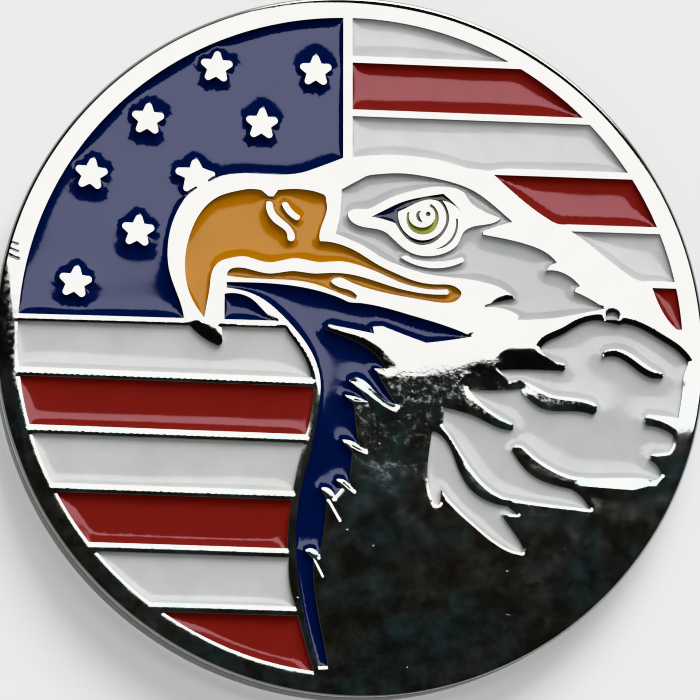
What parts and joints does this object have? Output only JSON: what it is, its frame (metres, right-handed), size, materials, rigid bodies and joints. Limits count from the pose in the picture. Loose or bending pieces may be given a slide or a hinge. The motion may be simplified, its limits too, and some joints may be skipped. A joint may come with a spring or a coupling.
{
  "type": "golf ball marker",
  "caption": "Round die-struck coin-like golf ball marker, raised metal lines and rim with sunken glossy enamel fills showing an eagle head over a striped and starred flag.",
  "frame": {"origin": "centre of the flat back face", "axes": "+Z out of the decorated face, +Y towards the top of the design, +X to the right of the design seen from the front"},
  "size_m": [0.025, 0.025, 0.0015],
  "materials": {
    "nickel": "mirror-polished nickel plate over die-struck steel, fine wear and tarnish in the corners",
    "enamel_blue": "soft enamel, navy blue, glossy, sunk between the metal lines",
    "enamel_red": "soft enamel, deep red, glossy, sunk between the metal lines",
    "enamel_white": "soft enamel, white, glossy, sunk between the metal lines",
    "enamel_grey": "soft enamel, pale grey, glossy, sunk between the metal lines",
    "enamel_orange": "soft enamel, orange, glossy, sunk between the metal lines",
    "enamel_yellow": "soft enamel, yellow-green, glossy, sunk between the metal lines",
    "enamel_dark": "soft enamel, blue-black, glossy, in thin engraved lines"
  },
  "bodies": {
    "root": {"beak_orange": "enamel_orange", "canton_blue": "enamel_blue", "chin_blue": "enamel_blue", "eye_crease_dark": "enamel_dark", "eyelid_dark": "enamel_dark", "face_grey": "enamel_grey", "feather_low_grey": "enamel_grey", "feathers_grey": "enamel_grey", "iris_yellow": "enamel_yellow", "nape_bead_grey": "enamel_grey", "pupil_curl_dark": "enamel_dark", "pupil_dot_dark": "enamel_dark", "stripe_lower_1_white": "enamel_white", "stripe_lower_2_red": "enamel_red", "stripe_lower_3_white": "enamel_white", "stripe_lower_4_red": "enamel_red", "stripe_lower_5_white": "enamel_white", "stripe_lower_6_red": "enamel_red", "stripe_upper_1_white": "enamel_white", "stripe_upper_2_red": "enamel_red", "stripe_upper_3_white": "enamel_white", "stripe_upper_4_red": "enamel_red", "stripe_upper_5_white": "enamel_white", "stripe_upper_6_red": "enamel_red", "struck_disc": "nickel", "throat_blue": "enamel_blue"}
  },
  "joints": []
}
